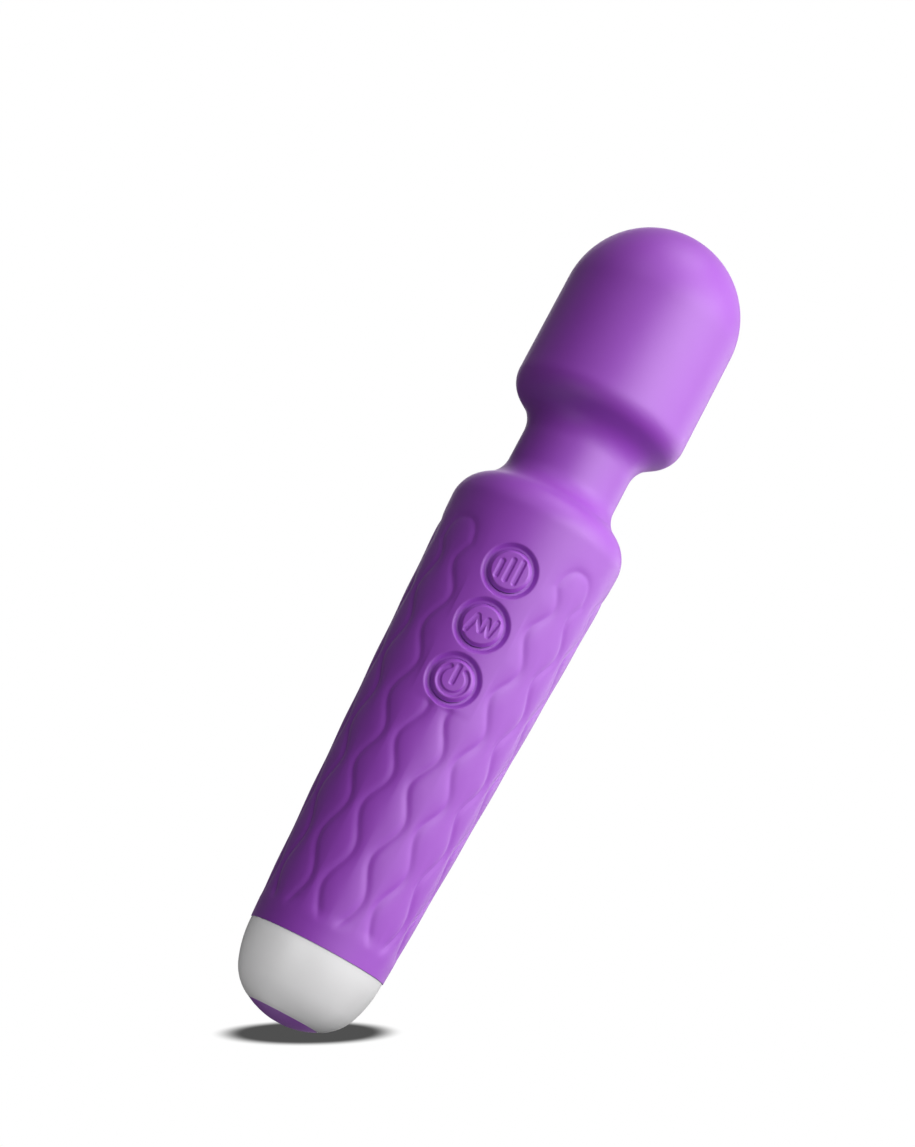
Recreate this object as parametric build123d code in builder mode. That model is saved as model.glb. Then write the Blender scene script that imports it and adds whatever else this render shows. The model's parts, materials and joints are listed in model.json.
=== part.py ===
"""Cordless handheld wand massager, built as an assembly of separate pieces.

Frame: +Z runs along the wand from the charging end to the domed head, -Y is the side with the buttons,
and the origin is the lowest point of the charging end. Lengths are in millimetres.
"""

import os
from math import atan2, tan

from build123d import *

# ---- outside: skin and end cap ----------------------------------------------------------------------
LENGTH = 202.0  # overall
HEAD_R = 21.0  # widest radius, at the head
NECK_R = 13.4
SHOULDER_R = 21.1  # handle radius at the corner of the shoulder, before rounding
BELLY_R, BELLY_Z = 19.05, 76.0  # a point half way up the gently curved handle
RING_R, RING_Z = 16.2, 17.6  # lower edge of the sleeve, where it meets the end cap
SHOULDER_Z = 126.6  # corner between handle and shoulder
NECK_LOW_Z, NECK_HIGH_Z = 132.0, 147.2  # corners at the two ends of the neck
HEAD_LOW_Z = 152.7  # corner between the head's underside and its side
DOME_Z = LENGTH - HEAD_R  # where the head's dome begins
ROUNDINGS = (8.3, 7.2, 8.0, 6.2)  # at the shoulder, the neck's two ends and the head
CORE_Z = 5.0  # where the outline is closed, inside the end cap

SKIN = 2.0  # silicone on the handle and neck
HEAD_SKIN = 3.2  # silicone on the head
WALL = 1.7  # ABS walls
SEAT = 0.02  # between pieces of one body that sit against each other
SLIDE = 0.3  # between pieces of different bodies

SLEEVE_LOW, SLEEVE_HIGH = 134.2, 145.9  # the part of the sleeve that bends

CAP_R = 16.0
CAP_SIDE_ROUND, CAP_SIDE_SWEEP = 26.0, 22.0  # radius and degrees of the cap's steep upper curve
CAP_WALL, CAP_FLOOR = 1.8, 4.8
INSERT_R, INSERT_Z = 8.4, 2.05  # visible edge of the silicone charging insert
INSERT_RIM = 0.95
STEM_R = 5.1
PIN_HOLE_R = 1.6

# ---- inside: handle ---------------------------------------------------------------------------------
HOUSING_LOW, HOUSING_HIGH = 10.0, 130.4
SPIGOT_R = 13.6  # lower end of the housing, inside the end cap
SEAL_R, SEAL_Z, SEAL_GROOVE = 0.65, 14.2, 1.4
SCREW_PLACES = [(x, z) for z in (27.0, 68.0, 116.3) for x in (-10.2, 10.2)]
SCREW_R, SCREW_HEAD_R, SCREW_HEAD_T, SCREW_LENGTH = 1.0, 1.7, 1.2, 9.5
BOSS_R = 2.5
SCREW_SEAT_Y = 5.2  # where the screw heads bear on the rear housing

JACK_LOW, JACK_R, JACK_BORE_R, JACK_DEPTH = 6.05, 4.4, 1.25, 9.0
BATTERY_R, BATTERY_L, BATTERY_Z, BATTERY_Y = 7.0, 50.0, 24.0, 0.5
BOARD_Y, BOARD_T, BOARD_W = -9.0, 1.2, 19.0
BOARD_LOW, BOARD_HIGH = 74.6, 113.0
RAIL_HEIGHTS, RAIL_T, RAIL_W, RAIL_GRIP = (84.0, 106.0), 5.0, 5.0, 0.8

BUTTONS = {"power": 80.9, "mode": 94.4, "level": 107.9}  # heights of the button centres
BUTTON_R, BUTTON_T, BUTTON_EDGE, BUTTON_DROP = 4.8, 2.0, 0.5, 0.1
GROOVE_R, GROOVE_DEPTH = 6.0, 0.9  # the ring-shaped groove around each button
TRAVEL = 0.6
PLUNGER_R, PLUNGER_T, STEM_TIP_R = 3.8, 1.2, 1.8
SWITCH_W, SWITCH_T, SWITCH_KNOB_T = 6.0, 1.8, 0.7
LEDGE_R, LEDGE_LOW, LEDGE_HIGH = 13.0, 121.9, 123.2  # the housing's shelf for the neck plate

# ---- inside: neck and head --------------------------------------------------------------------------
COUPLER_R, WAIST_R, COUPLER_BORE = 7.6, 5.8, 3.6
RIB_LOW, RIB_PITCH, RIB_COUNT, RIB_T = 131.2, 4.1, 4, 1.8
FLANGE_R, FLANGE_T = 9.4, 1.5
PLATE_R, PLATE_T = 14.9, 2.4
CLAMP_R, CLAMP_T, CLAMP_SCREW_AT = 11.9, 1.3, 10.8
COUPLER_LOW, COUPLER_HIGH = 121.65, 152.1
COUPLER_ENDS = 127.4, 147.0  # the coupler is full width below the first height and above the second
POD_LOW, POD_FLOOR, POD_SPLIT = 147.0, 152.2, 168.0
MOTOR_R, MOTOR_L, MOTOR_Z = 10.5, 25.0, 156.0
SHAFT_R, SHAFT_RUN = 1.0, 0.05
LEAD_R, LEAD_LOW, LEAD_HIGH = 0.6, 118.4, 154.4
WEIGHT_R, WEIGHT_T, WEIGHT_SWEEP = 8.5, 5.5, 150.0


def handle_radius(z):
    """Outer radius of the handle at height z, from the circle through its ring, belly and shoulder."""
    rise = (SHOULDER_R - RING_R) / (SHOULDER_Z - RING_Z)
    chord_r = RING_R + rise * (z - RING_Z)
    belly = BELLY_R - RING_R - rise * (BELLY_Z - RING_Z)
    shape = (z - RING_Z) * (SHOULDER_Z - z) / ((BELLY_Z - RING_Z) * (SHOULDER_Z - BELLY_Z))
    return chord_r + belly * shape


def outline(inset=0.0):
    """Half of the wand's outline above the end cap, as radius and height, set in by a thickness."""
    low_turn = atan2(SHOULDER_R - NECK_R, NECK_LOW_Z - SHOULDER_Z)
    high_turn = atan2(HEAD_R - NECK_R, HEAD_LOW_Z - NECK_HIGH_Z)
    drop, rise = inset * tan(low_turn / 2), inset * tan(high_turn / 2)
    heights = [RING_Z + step * (SHOULDER_Z - drop - RING_Z) / 12 for step in range(13)]
    shoulder = (handle_radius(heights[-1]) - inset, heights[-1])
    neck_low, neck_high = (NECK_R - inset, NECK_LOW_Z - drop), (NECK_R - inset, NECK_HIGH_Z + rise)
    head_low = (HEAD_R - inset, HEAD_LOW_Z + rise)
    with BuildSketch() as half:
        with BuildLine():
            side = Spline([(handle_radius(z) - inset, z) for z in heights])
            Polyline(side @ 1, neck_low, neck_high, head_low, (HEAD_R - inset, DOME_Z))
            dome = CenterArc((0, DOME_Z), HEAD_R - inset, 0, 90)
            Polyline(dome @ 1, (0, CORE_Z), (RING_R - inset - 0.8, CORE_Z), side @ 0)
        make_face()
        for corner, rounding, way in zip((shoulder, neck_low, neck_high, head_low), ROUNDINGS, (-1, 1, 1, -1)):
            fillet(half.vertices().sort_by_distance((*corner, 0))[0], rounding + way * inset)
    return half.sketch


def cap_outline(inset=0.0):
    """Half of the end cap's outline below the sleeve, set in by a wall thickness."""
    with BuildSketch() as half:
        with BuildLine():
            side = CenterArc((CAP_R - CAP_SIDE_ROUND, RING_Z), CAP_SIDE_ROUND, 0, -CAP_SIDE_SWEEP)
            shoulder = TangentArc(side @ 1, (INSERT_R, INSERT_Z), tangent=side % 1)
            Polyline(shoulder @ 1, (0, INSERT_Z), (0, RING_Z), side @ 0)
        make_face()
        if inset:
            mirror(about=Plane.YZ)
            offset(amount=-inset, kind=Kind.INTERSECTION)
            with Locations((LENGTH / 2, 0)):
                Rectangle(LENGTH, 2 * LENGTH, mode=Mode.INTERSECT)
    return half.sketch


def band(inset, low, high):
    """The part of the set-in outline between two heights."""
    with BuildSketch() as part_of_outline:
        add(OUTLINES[inset])
        with Locations((0, (low + high) / 2)):
            Rectangle(LENGTH, high - low, mode=Mode.INTERSECT)
    return part_of_outline.sketch


def box_between(low_r, high_r, low, high):
    """A rectangle in the plane of radius and height."""
    with BuildSketch() as rectangle:
        with Locations(((low_r + high_r) / 2, (low + high) / 2)):
            Rectangle(high_r - low_r, high - low)
    return rectangle.sketch


def facing_buttons(y, z, x=0.0):
    """A sketch plane at depth y that looks out of the button side, centred on x and height z."""
    return Plane(origin=(x, y, z), x_dir=(1, 0, 0), z_dir=(0, -1, 0))


def facing_rear(y, z, x=0.0):
    """A sketch plane at depth y that looks out of the side away from the buttons."""
    return Plane(origin=(x, y, z), x_dir=(-1, 0, 0), z_dir=(0, 1, 0))


def write(piece, name):
    """Labels a finished piece and writes its STEP file."""
    piece.label = name
    export_step(piece, f"parts/{name}.step")


SLEEVE_IN, HOUSING_OUT, HOUSING_IN = SKIN, SKIN + SEAT, SKIN + SEAT + WALL
HEAD_IN, POD_OUT, POD_IN = HEAD_SKIN, HEAD_SKIN + SEAT, HEAD_SKIN + SEAT + WALL
OUTLINES = {inset: outline(inset) for inset in (0.0, SLEEVE_IN, HOUSING_OUT, HOUSING_IN, HEAD_IN, POD_OUT, POD_IN)}
os.makedirs("parts", exist_ok=True)

# ---- silicone sleeve: handle, bending neck, head ------------------------------------------------------
with BuildPart() as handle_sleeve:
    with BuildSketch(Plane.XZ):
        add(band(0.0, RING_Z + 0.05, SLEEVE_LOW))
        add(OUTLINES[SLEEVE_IN], mode=Mode.SUBTRACT)
    revolve(axis=Axis.Z)
    for height in BUTTONS.values():
        with BuildSketch(facing_buttons(-handle_radius(height) + GROOVE_DEPTH, height)):
            Circle(GROOVE_R)
        extrude(amount=2 * GROOVE_DEPTH, mode=Mode.SUBTRACT)
        with BuildSketch(facing_buttons(-handle_radius(height) + 2 * SKIN, height)):
            Circle(BUTTON_R + SLIDE)
        extrude(amount=3 * SKIN, mode=Mode.SUBTRACT)
write(handle_sleeve.part, "handle_sleeve")

with BuildPart() as neck_sleeve:
    with BuildSketch(Plane.XZ):
        add(band(0.0, SLEEVE_LOW, SLEEVE_HIGH))
        add(OUTLINES[SLEEVE_IN], mode=Mode.SUBTRACT)
    revolve(axis=Axis.Z)
write(neck_sleeve.part, "neck_sleeve")

with BuildPart() as head_sleeve:
    with BuildSketch(Plane.XZ):
        add(band(0.0, SLEEVE_HIGH, LENGTH + 1))
    revolve(axis=Axis.Z)
    with BuildSketch(Plane.XZ):
        add(band(HEAD_IN, SLEEVE_HIGH - 1, LENGTH))
    revolve(axis=Axis.Z, mode=Mode.SUBTRACT)
write(head_sleeve.part, "head_sleeve")

# ---- handle housing, in a front and a rear half ---------------------------------------------------------
def housing_space(side):
    """The space inside one half of the housing, around its screw bosses and, in front, its board rails."""
    with BuildPart() as space:
        with BuildSketch(Plane.XZ):
            add(band(HOUSING_IN, RING_Z + 0.1 + WALL, HOUSING_HIGH + 0.1))
            add(box_between(0, SPIGOT_R - WALL, HOUSING_LOW - 0.1, RING_Z + 0.1 + WALL))
            add(box_between(LEDGE_R, HEAD_R, LEDGE_LOW, LEDGE_HIGH), mode=Mode.SUBTRACT)
        revolve(axis=Axis.Z)
        for x, height in SCREW_PLACES:
            with BuildSketch(facing_rear(0, height, x)):
                Circle(BOSS_R)
            extrude(amount=side * HEAD_R, mode=Mode.SUBTRACT)
        if side < 0:
            for end in (-1, 1):
                for height in RAIL_HEIGHTS:
                    middle = end * (BOARD_W / 2 + RAIL_T / 2 - RAIL_GRIP)
                    with BuildSketch(facing_buttons(BOARD_Y + RAIL_W / 2, height, middle)):
                        Rectangle(RAIL_T, RAIL_W)
                    extrude(amount=RAIL_W, mode=Mode.SUBTRACT)
            with BuildSketch(facing_buttons(BOARD_Y + BOARD_T / 2 + 0.05, (BOARD_LOW + BOARD_HIGH) / 2)):
                Rectangle(BOARD_W + 0.1, BOARD_HIGH - BOARD_LOW + 0.1)
            extrude(amount=BOARD_T + 0.1)
    return space.part


def housing_half(side):
    """One half of the housing; side is -1 at the buttons and 1 at the rear."""
    with BuildPart() as half:
        with BuildSketch(Plane.XZ):
            add(band(HOUSING_OUT, RING_Z + 0.1, HOUSING_HIGH))
            add(box_between(0, SPIGOT_R, HOUSING_LOW, RING_Z + 0.1))
        revolve(axis=Axis.Z)
        add(housing_space(side), mode=Mode.SUBTRACT)
        for x, height in SCREW_PLACES:
            with BuildSketch(facing_rear(SCREW_SEAT_Y - SCREW_LENGTH, height, x)):
                Circle(SCREW_R + SEAT)
            extrude(amount=HEAD_R, mode=Mode.SUBTRACT)
            with BuildSketch(facing_rear(SCREW_SEAT_Y, height, x)):
                Circle(SCREW_HEAD_R + 0.1)
            extrude(amount=HEAD_R, mode=Mode.SUBTRACT)
        if side < 0:
            for height in BUTTONS.values():
                with BuildSketch(facing_buttons(BOARD_Y - 1, height)):
                    Circle(PLUNGER_R + SLIDE)
                extrude(amount=HEAD_R, mode=Mode.SUBTRACT)
                with BuildSketch(facing_buttons(-handle_radius(height) + BUTTON_T + TRAVEL + SLIDE, height)):
                    Circle(BUTTON_R + SLIDE)
                extrude(amount=HEAD_R, mode=Mode.SUBTRACT)
        split(bisect_by=Plane.XZ, keep=Keep.TOP if side < 0 else Keep.BOTTOM)
    return half.part


write(housing_half(-1), "housing_front")
write(housing_half(1), "housing_rear")

with BuildPart() as housing_screws:
    for x, height in SCREW_PLACES:
        with BuildSketch(facing_rear(SCREW_SEAT_Y, height, x)):
            Circle(SCREW_HEAD_R)
        extrude(amount=SCREW_HEAD_T)
        with BuildSketch(facing_rear(SCREW_SEAT_Y + SCREW_HEAD_T / 2, height, x)):
            Rectangle(2.0, 0.4)
            Rectangle(0.4, 2.0)
        extrude(amount=SCREW_HEAD_T, mode=Mode.SUBTRACT)
        with BuildSketch(facing_rear(SCREW_SEAT_Y, height, x)):
            Circle(SCREW_R)
        extrude(amount=-SCREW_LENGTH)
write(housing_screws.part, "housing_screws")

# ---- end cap, seal and charging socket --------------------------------------------------------------------
with BuildPart() as end_cap:
    with BuildSketch(Plane.XZ):
        add(cap_outline())
        add(cap_outline(CAP_WALL), mode=Mode.SUBTRACT)
        add(box_between(0, SPIGOT_R + 0.05, HOUSING_LOW - 0.1, RING_Z), mode=Mode.SUBTRACT)
        seal_low, seal_high = SEAL_Z - SEAL_GROOVE / 2, SEAL_Z + SEAL_GROOVE / 2
        add(box_between(0, SPIGOT_R + 2 * SEAL_R + 0.05, seal_low, seal_high), mode=Mode.SUBTRACT)
        add(box_between(0, INSERT_R, 0, INSERT_Z + INSERT_RIM), mode=Mode.SUBTRACT)
        add(box_between(0, STEM_R + 0.05, 0, CAP_FLOOR), mode=Mode.SUBTRACT)
    revolve(axis=Axis.Z)
write(end_cap.part, "end_cap")

with BuildPart() as cap_seal:
    with BuildSketch(Plane.XZ):
        with Locations((SPIGOT_R + SEAL_R + 0.01, SEAL_Z)):
            Circle(SEAL_R)
    revolve(axis=Axis.Z)
write(cap_seal.part, "cap_seal")

with BuildPart() as charge_insert:
    with BuildSketch(Plane.XZ):
        bulge_r = (INSERT_R**2 + INSERT_Z**2) / (2 * INSERT_Z)
        with Locations((0, bulge_r)):
            Circle(bulge_r)
        add(box_between(0, INSERT_R - SEAT, 0, INSERT_Z + INSERT_RIM - SEAT), mode=Mode.INTERSECT)
        add(box_between(0, STEM_R, INSERT_Z, JACK_LOW - SEAT))
        add(box_between(0, PIN_HOLE_R, 0, JACK_LOW), mode=Mode.SUBTRACT)
    revolve(axis=Axis.Z)
write(charge_insert.part, "charge_insert")

with BuildPart() as charge_jack:
    with BuildSketch(Plane.XY.offset(JACK_LOW)):
        Circle(JACK_R)
    extrude(amount=JACK_DEPTH + 2)
    with BuildSketch(Plane.XY.offset(JACK_LOW)):
        Circle(JACK_BORE_R)
    extrude(amount=JACK_DEPTH, mode=Mode.SUBTRACT)
write(charge_jack.part, "charge_jack")

with BuildPart() as jack_contacts:
    with Locations(Plane.XY.offset(JACK_LOW + JACK_DEPTH + 2)):
        with Locations((-2.4, 0, 1.5), (2.4, 0, 1.5)):
            Box(1.6, 0.4, 3.0)
write(jack_contacts.part, "jack_contacts")

with BuildPart() as jack_frame:
    with BuildSketch(Plane.XY.offset(HOUSING_LOW + 0.4)):
        Circle(SPIGOT_R - WALL - 0.05)
        Circle(JACK_R + SEAT, mode=Mode.SUBTRACT)
        with PolarLocations(8.2, 3, start_angle=90):
            Circle(1.8, mode=Mode.SUBTRACT)
    extrude(amount=1.8)
write(jack_frame.part, "jack_frame")

# ---- battery --------------------------------------------------------------------------------------------
BATTERY_TOP = BATTERY_Z + BATTERY_L
with BuildPart() as battery_cell:
    with BuildSketch(Plane.XY.offset(BATTERY_Z)):
        with Locations((0, BATTERY_Y)):
            Circle(BATTERY_R)
    extrude(amount=BATTERY_L)
    fillet(battery_cell.edges().filter_by(GeomType.CIRCLE), 0.6)
write(battery_cell.part, "battery_cell")

with BuildPart() as battery_tabs:
    for height in (BATTERY_Z - 0.3, BATTERY_TOP):
        with BuildSketch(Plane.XY.offset(height)):
            with Locations((0, BATTERY_Y)):
                Circle(3.6)
        extrude(amount=0.3)
write(battery_tabs.part, "battery_tabs")

with BuildPart() as battery_foam:
    for height in (BATTERY_Z - 0.32 - 1.6, BATTERY_TOP + 0.32):
        with BuildSketch(Plane.XY.offset(height)):
            with Locations((0, BATTERY_Y)):
                Circle(6.0)
        extrude(amount=1.6)
write(battery_foam.part, "battery_foam")

CRADLE_LEVELS = (34.0, 57.0)
CRADLE_T = 2.0
with BuildPart() as battery_cradle:
    for height in CRADLE_LEVELS:
        with BuildSketch(Plane.XY.offset(height)):
            Circle(handle_radius(height) - HOUSING_IN - 0.15)
        extrude(amount=CRADLE_T)
    for side in (-1, 1):
        with BuildSketch(Plane.XY.offset(CRADLE_LEVELS[0])):
            with Locations((side * (BATTERY_R + 1.6), BATTERY_Y)):
                Rectangle(1.6, 5.0)
        extrude(amount=CRADLE_LEVELS[1] - CRADLE_LEVELS[0])
    with BuildSketch(Plane.XY.offset(BATTERY_Z)):
        with Locations((0, BATTERY_Y)):
            Circle(BATTERY_R + 0.1)
    extrude(amount=BATTERY_L, mode=Mode.SUBTRACT)
write(battery_cradle.part, "battery_cradle")

# ---- circuit board ----------------------------------------------------------------------------------------
BOARD_FRONT, BOARD_BACK = BOARD_Y - BOARD_T / 2, BOARD_Y + BOARD_T / 2
with BuildPart() as circuit_board:
    with BuildSketch(facing_buttons(BOARD_BACK, (BOARD_LOW + BOARD_HIGH) / 2)):
        RectangleRounded(BOARD_W, BOARD_HIGH - BOARD_LOW, 1.5)
    extrude(amount=BOARD_T)
write(circuit_board.part, "circuit_board")

with BuildPart() as tact_switches:
    for height in BUTTONS.values():
        with BuildSketch(facing_buttons(BOARD_FRONT, height)):
            RectangleRounded(SWITCH_W, SWITCH_W, 0.5)
        extrude(amount=SWITCH_T)
        with BuildSketch(facing_buttons(BOARD_FRONT - SWITCH_T, height)):
            Circle(1.6)
        extrude(amount=SWITCH_KNOB_T)
write(tact_switches.part, "tact_switches")

CHIPS = ((0, 90, 7.0, 7.0, 1.2), (5.6, 103, 3.2, 4.2, 1.0), (-5.0, 103, 3.0, 3.0, 1.0), (0, 110, 4.0, 2.0, 0.8))
with BuildPart() as board_chips:
    for x, z, width, height, thickness in CHIPS:
        with BuildSketch(facing_rear(BOARD_BACK, z, x)):
            Rectangle(width, height)
        extrude(amount=thickness)
write(board_chips.part, "board_chips")

# ---- buttons ------------------------------------------------------------------------------------------------
SWITCH_TOP = BOARD_FRONT - SWITCH_T - SWITCH_KNOB_T


def button_cap(height):
    """A plain round silicone button with a rounded edge, its face just below the handle's surface."""
    face = -handle_radius(height) + BUTTON_DROP
    with BuildPart() as cap:
        with BuildSketch(facing_buttons(face + BUTTON_T, height)):
            Circle(BUTTON_R)
        extrude(amount=BUTTON_T)
        fillet(cap.faces().sort_by(Axis.Y)[0].edges(), BUTTON_EDGE)
    return cap.part


def button_plunger(height):
    """The hard core under a button, which reaches in to the switch and stops short of it at rest."""
    back = -handle_radius(height) + BUTTON_DROP + BUTTON_T
    tip = SWITCH_TOP - TRAVEL - 0.1
    with BuildPart() as plunger:
        with BuildSketch(facing_buttons(back, height)):
            Circle(PLUNGER_R)
        extrude(amount=-PLUNGER_T)
        with BuildSketch(facing_buttons(back, height)):
            Circle(STEM_TIP_R)
        extrude(amount=back - tip)
    return plunger.part


for kind, height in BUTTONS.items():
    write(button_cap(height), f"{kind}_button")
    write(button_plunger(height), f"{kind}_plunger")

# ---- flexible neck ---------------------------------------------------------------------------------------------
with BuildPart() as neck_coupler:
    with BuildSketch(Plane.XZ):
        add(box_between(COUPLER_BORE, WAIST_R, COUPLER_LOW, COUPLER_HIGH))
        add(box_between(COUPLER_BORE, FLANGE_R, COUPLER_LOW, COUPLER_LOW + FLANGE_T))
        add(box_between(COUPLER_BORE, FLANGE_R, COUPLER_HIGH - FLANGE_T, COUPLER_HIGH))
        add(box_between(COUPLER_BORE, COUPLER_R, COUPLER_LOW, COUPLER_ENDS[0]))
        add(box_between(COUPLER_BORE, COUPLER_R, COUPLER_ENDS[1], COUPLER_HIGH))
        for rib in range(RIB_COUNT):
            middle = RIB_LOW + rib * RIB_PITCH
            add(box_between(COUPLER_BORE, COUPLER_R, middle - RIB_T / 2, middle + RIB_T / 2))
    revolve(axis=Axis.Z)
write(neck_coupler.part, "neck_coupler")

with BuildPart() as neck_plate:
    with BuildSketch(Plane.XY.offset(LEDGE_HIGH + SEAT)):
        Circle(PLATE_R)
        Circle(COUPLER_R + SEAT, mode=Mode.SUBTRACT)
        with PolarLocations(CLAMP_SCREW_AT, 3):
            Circle(0.8 + SEAT, mode=Mode.SUBTRACT)
    extrude(amount=PLATE_T)
write(neck_plate.part, "neck_plate")


def clamp_ring(low):
    """A ring that holds a flange of the coupler, with three screw holes."""
    with BuildPart() as ring:
        with BuildSketch(Plane.XY.offset(low)):
            Circle(CLAMP_R)
            Circle(COUPLER_BORE + 0.8, mode=Mode.SUBTRACT)
            with PolarLocations(CLAMP_SCREW_AT, 3):
                Circle(0.8 + SEAT, mode=Mode.SUBTRACT)
        extrude(amount=CLAMP_T)
    return ring.part


def clamp_screws(seat, way):
    """Three small screws whose heads bear at a height; way is 1 when they run upwards from it."""
    with BuildPart() as screws:
        with PolarLocations(CLAMP_SCREW_AT, 3):
            with Locations((0, 0, seat - way * 0.45)):
                Cylinder(1.2, 0.9)
            with Locations((0, 0, seat + way * 1.4)):
                Cylinder(0.8, 2.8)
    return screws.part


LOWER_RING_Z = COUPLER_LOW - SEAT - CLAMP_T
UPPER_RING_Z = POD_FLOOR + SEAT
write(clamp_ring(LOWER_RING_Z), "lower_clamp_ring")
write(clamp_ring(UPPER_RING_Z), "upper_clamp_ring")
write(clamp_screws(LOWER_RING_Z, 1), "lower_clamp_screws")
write(clamp_screws(UPPER_RING_Z + CLAMP_T, -1), "upper_clamp_screws")

with BuildPart() as motor_leads:
    for side in (-1, 1):
        with BuildSketch(Plane.XY.offset(LEAD_LOW)):
            with Locations((side * 1.4, 0)):
                Circle(LEAD_R)
        extrude(amount=LEAD_HIGH - LEAD_LOW)
write(motor_leads.part, "motor_leads")

# ---- head: pod, motor and weight ----------------------------------------------------------------------------------
with BuildPart() as motor_pod_base:
    with BuildSketch(Plane.XZ):
        add(band(POD_OUT, POD_LOW, POD_SPLIT))
        add(band(POD_IN, POD_FLOOR, POD_SPLIT + 1), mode=Mode.SUBTRACT)
        add(box_between(0, COUPLER_R + SEAT, POD_LOW - 1, POD_FLOOR + 1), mode=Mode.SUBTRACT)
        add(box_between(0, FLANGE_R + SEAT, COUPLER_HIGH - FLANGE_T - SEAT, POD_FLOOR + 1), mode=Mode.SUBTRACT)
    revolve(axis=Axis.Z)
    with PolarLocations(CLAMP_SCREW_AT, 3):
        with Locations((0, 0, POD_FLOOR)):
            Cylinder(0.8 + SEAT, 3.2, mode=Mode.SUBTRACT)
write(motor_pod_base.part, "motor_pod_base")

with BuildPart() as motor_pod_dome:
    with BuildSketch(Plane.XZ):
        add(band(POD_OUT, POD_SPLIT, LENGTH))
    revolve(axis=Axis.Z)
    with BuildSketch(Plane.XZ):
        add(band(POD_IN, POD_SPLIT - 1, LENGTH))
    revolve(axis=Axis.Z, mode=Mode.SUBTRACT)
write(motor_pod_dome.part, "motor_pod_dome")

MOTOR_TOP = MOTOR_Z + MOTOR_L
SHAFT_LOW = MOTOR_Z + 12
with BuildPart() as motor_can:
    with BuildSketch(Plane.XY.offset(MOTOR_Z)):
        Circle(MOTOR_R)
    extrude(amount=MOTOR_L)
    fillet(motor_can.faces().sort_by(Axis.Z)[-1].edges(), 1.2)
    with BuildSketch(Plane.XY.offset(SHAFT_LOW - 0.2)):
        Circle(SHAFT_R + SHAFT_RUN)
    extrude(amount=MOTOR_L, mode=Mode.SUBTRACT)
write(motor_can.part, "motor_can")

with BuildPart() as motor_endcap:
    with BuildSketch(Plane.XY.offset(MOTOR_Z - 1.5)):
        Circle(MOTOR_R - 0.6)
    extrude(amount=1.5)
write(motor_endcap.part, "motor_endcap")

with BuildPart() as motor_bushing:
    with BuildSketch(Plane.XY.offset(MOTOR_TOP)):
        Circle(3.0)
        Circle(SHAFT_R + SHAFT_RUN, mode=Mode.SUBTRACT)
    extrude(amount=1.2)
write(motor_bushing.part, "motor_bushing")

with BuildPart() as motor_isolators:
    for height in (MOTOR_Z + 3.5, MOTOR_Z + 17.5):
        with BuildSketch(Plane.XY.offset(height)):
            Circle(HEAD_R - POD_IN - SEAT)
            Circle(MOTOR_R + SEAT, mode=Mode.SUBTRACT)
        extrude(amount=4)
write(motor_isolators.part, "motor_isolators")

WEIGHT_Z = MOTOR_TOP + 1.8
with BuildPart() as motor_shaft:
    with BuildSketch(Plane.XY.offset(SHAFT_LOW)):
        Circle(SHAFT_R)
    extrude(amount=WEIGHT_Z + WEIGHT_T + 0.8 - SHAFT_LOW)
write(motor_shaft.part, "motor_shaft")

with BuildPart() as eccentric_weight:
    with BuildSketch(Plane.XY.offset(WEIGHT_Z)):
        with BuildLine():
            rim = CenterArc((0, 0), WEIGHT_R, -WEIGHT_SWEEP / 2, WEIGHT_SWEEP)
            Polyline(rim @ 1, (0, 0), rim @ 0)
        make_face()
        Circle(2.6)
        Circle(SHAFT_R + 0.001, mode=Mode.SUBTRACT)
    extrude(amount=WEIGHT_T)
write(eccentric_weight.part, "eccentric_weight")
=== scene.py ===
"""Looks of the cordless wand massager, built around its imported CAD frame.

Lengths in the shape functions are millimetres along the object's own axes: z up the wand from the
charging end, -y out of the button side. MM turns them into Blender's metres.
"""
import json
import math

import bmesh
import bpy
import numpy as np
from mathutils import Matrix, Vector, kdtree
from mathutils.geometry import delaunay_2d_cdt


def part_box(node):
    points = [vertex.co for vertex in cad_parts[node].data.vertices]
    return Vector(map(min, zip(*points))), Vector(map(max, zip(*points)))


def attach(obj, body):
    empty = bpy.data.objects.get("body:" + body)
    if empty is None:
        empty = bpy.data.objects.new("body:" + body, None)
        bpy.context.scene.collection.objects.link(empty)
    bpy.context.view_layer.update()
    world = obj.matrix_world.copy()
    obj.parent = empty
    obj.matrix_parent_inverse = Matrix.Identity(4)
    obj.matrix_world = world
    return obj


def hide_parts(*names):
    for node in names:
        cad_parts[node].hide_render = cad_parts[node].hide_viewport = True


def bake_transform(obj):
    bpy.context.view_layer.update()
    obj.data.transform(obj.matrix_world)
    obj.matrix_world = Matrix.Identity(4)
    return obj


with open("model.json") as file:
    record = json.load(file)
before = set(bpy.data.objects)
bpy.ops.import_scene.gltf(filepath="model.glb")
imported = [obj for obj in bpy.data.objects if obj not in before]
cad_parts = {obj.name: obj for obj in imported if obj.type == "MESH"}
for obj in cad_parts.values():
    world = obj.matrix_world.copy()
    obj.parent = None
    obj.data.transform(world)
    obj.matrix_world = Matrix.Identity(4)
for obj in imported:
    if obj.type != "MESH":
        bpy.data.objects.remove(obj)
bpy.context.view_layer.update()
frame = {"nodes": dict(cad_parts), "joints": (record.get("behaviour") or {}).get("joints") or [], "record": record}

MM = 0.001


def low(node):
    """Lowest corner of a CAD node, in millimetres."""
    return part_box(node)[0] / MM


def high(node):
    """Highest corner of a CAD node, in millimetres."""
    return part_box(node)[1] / MM


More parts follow.
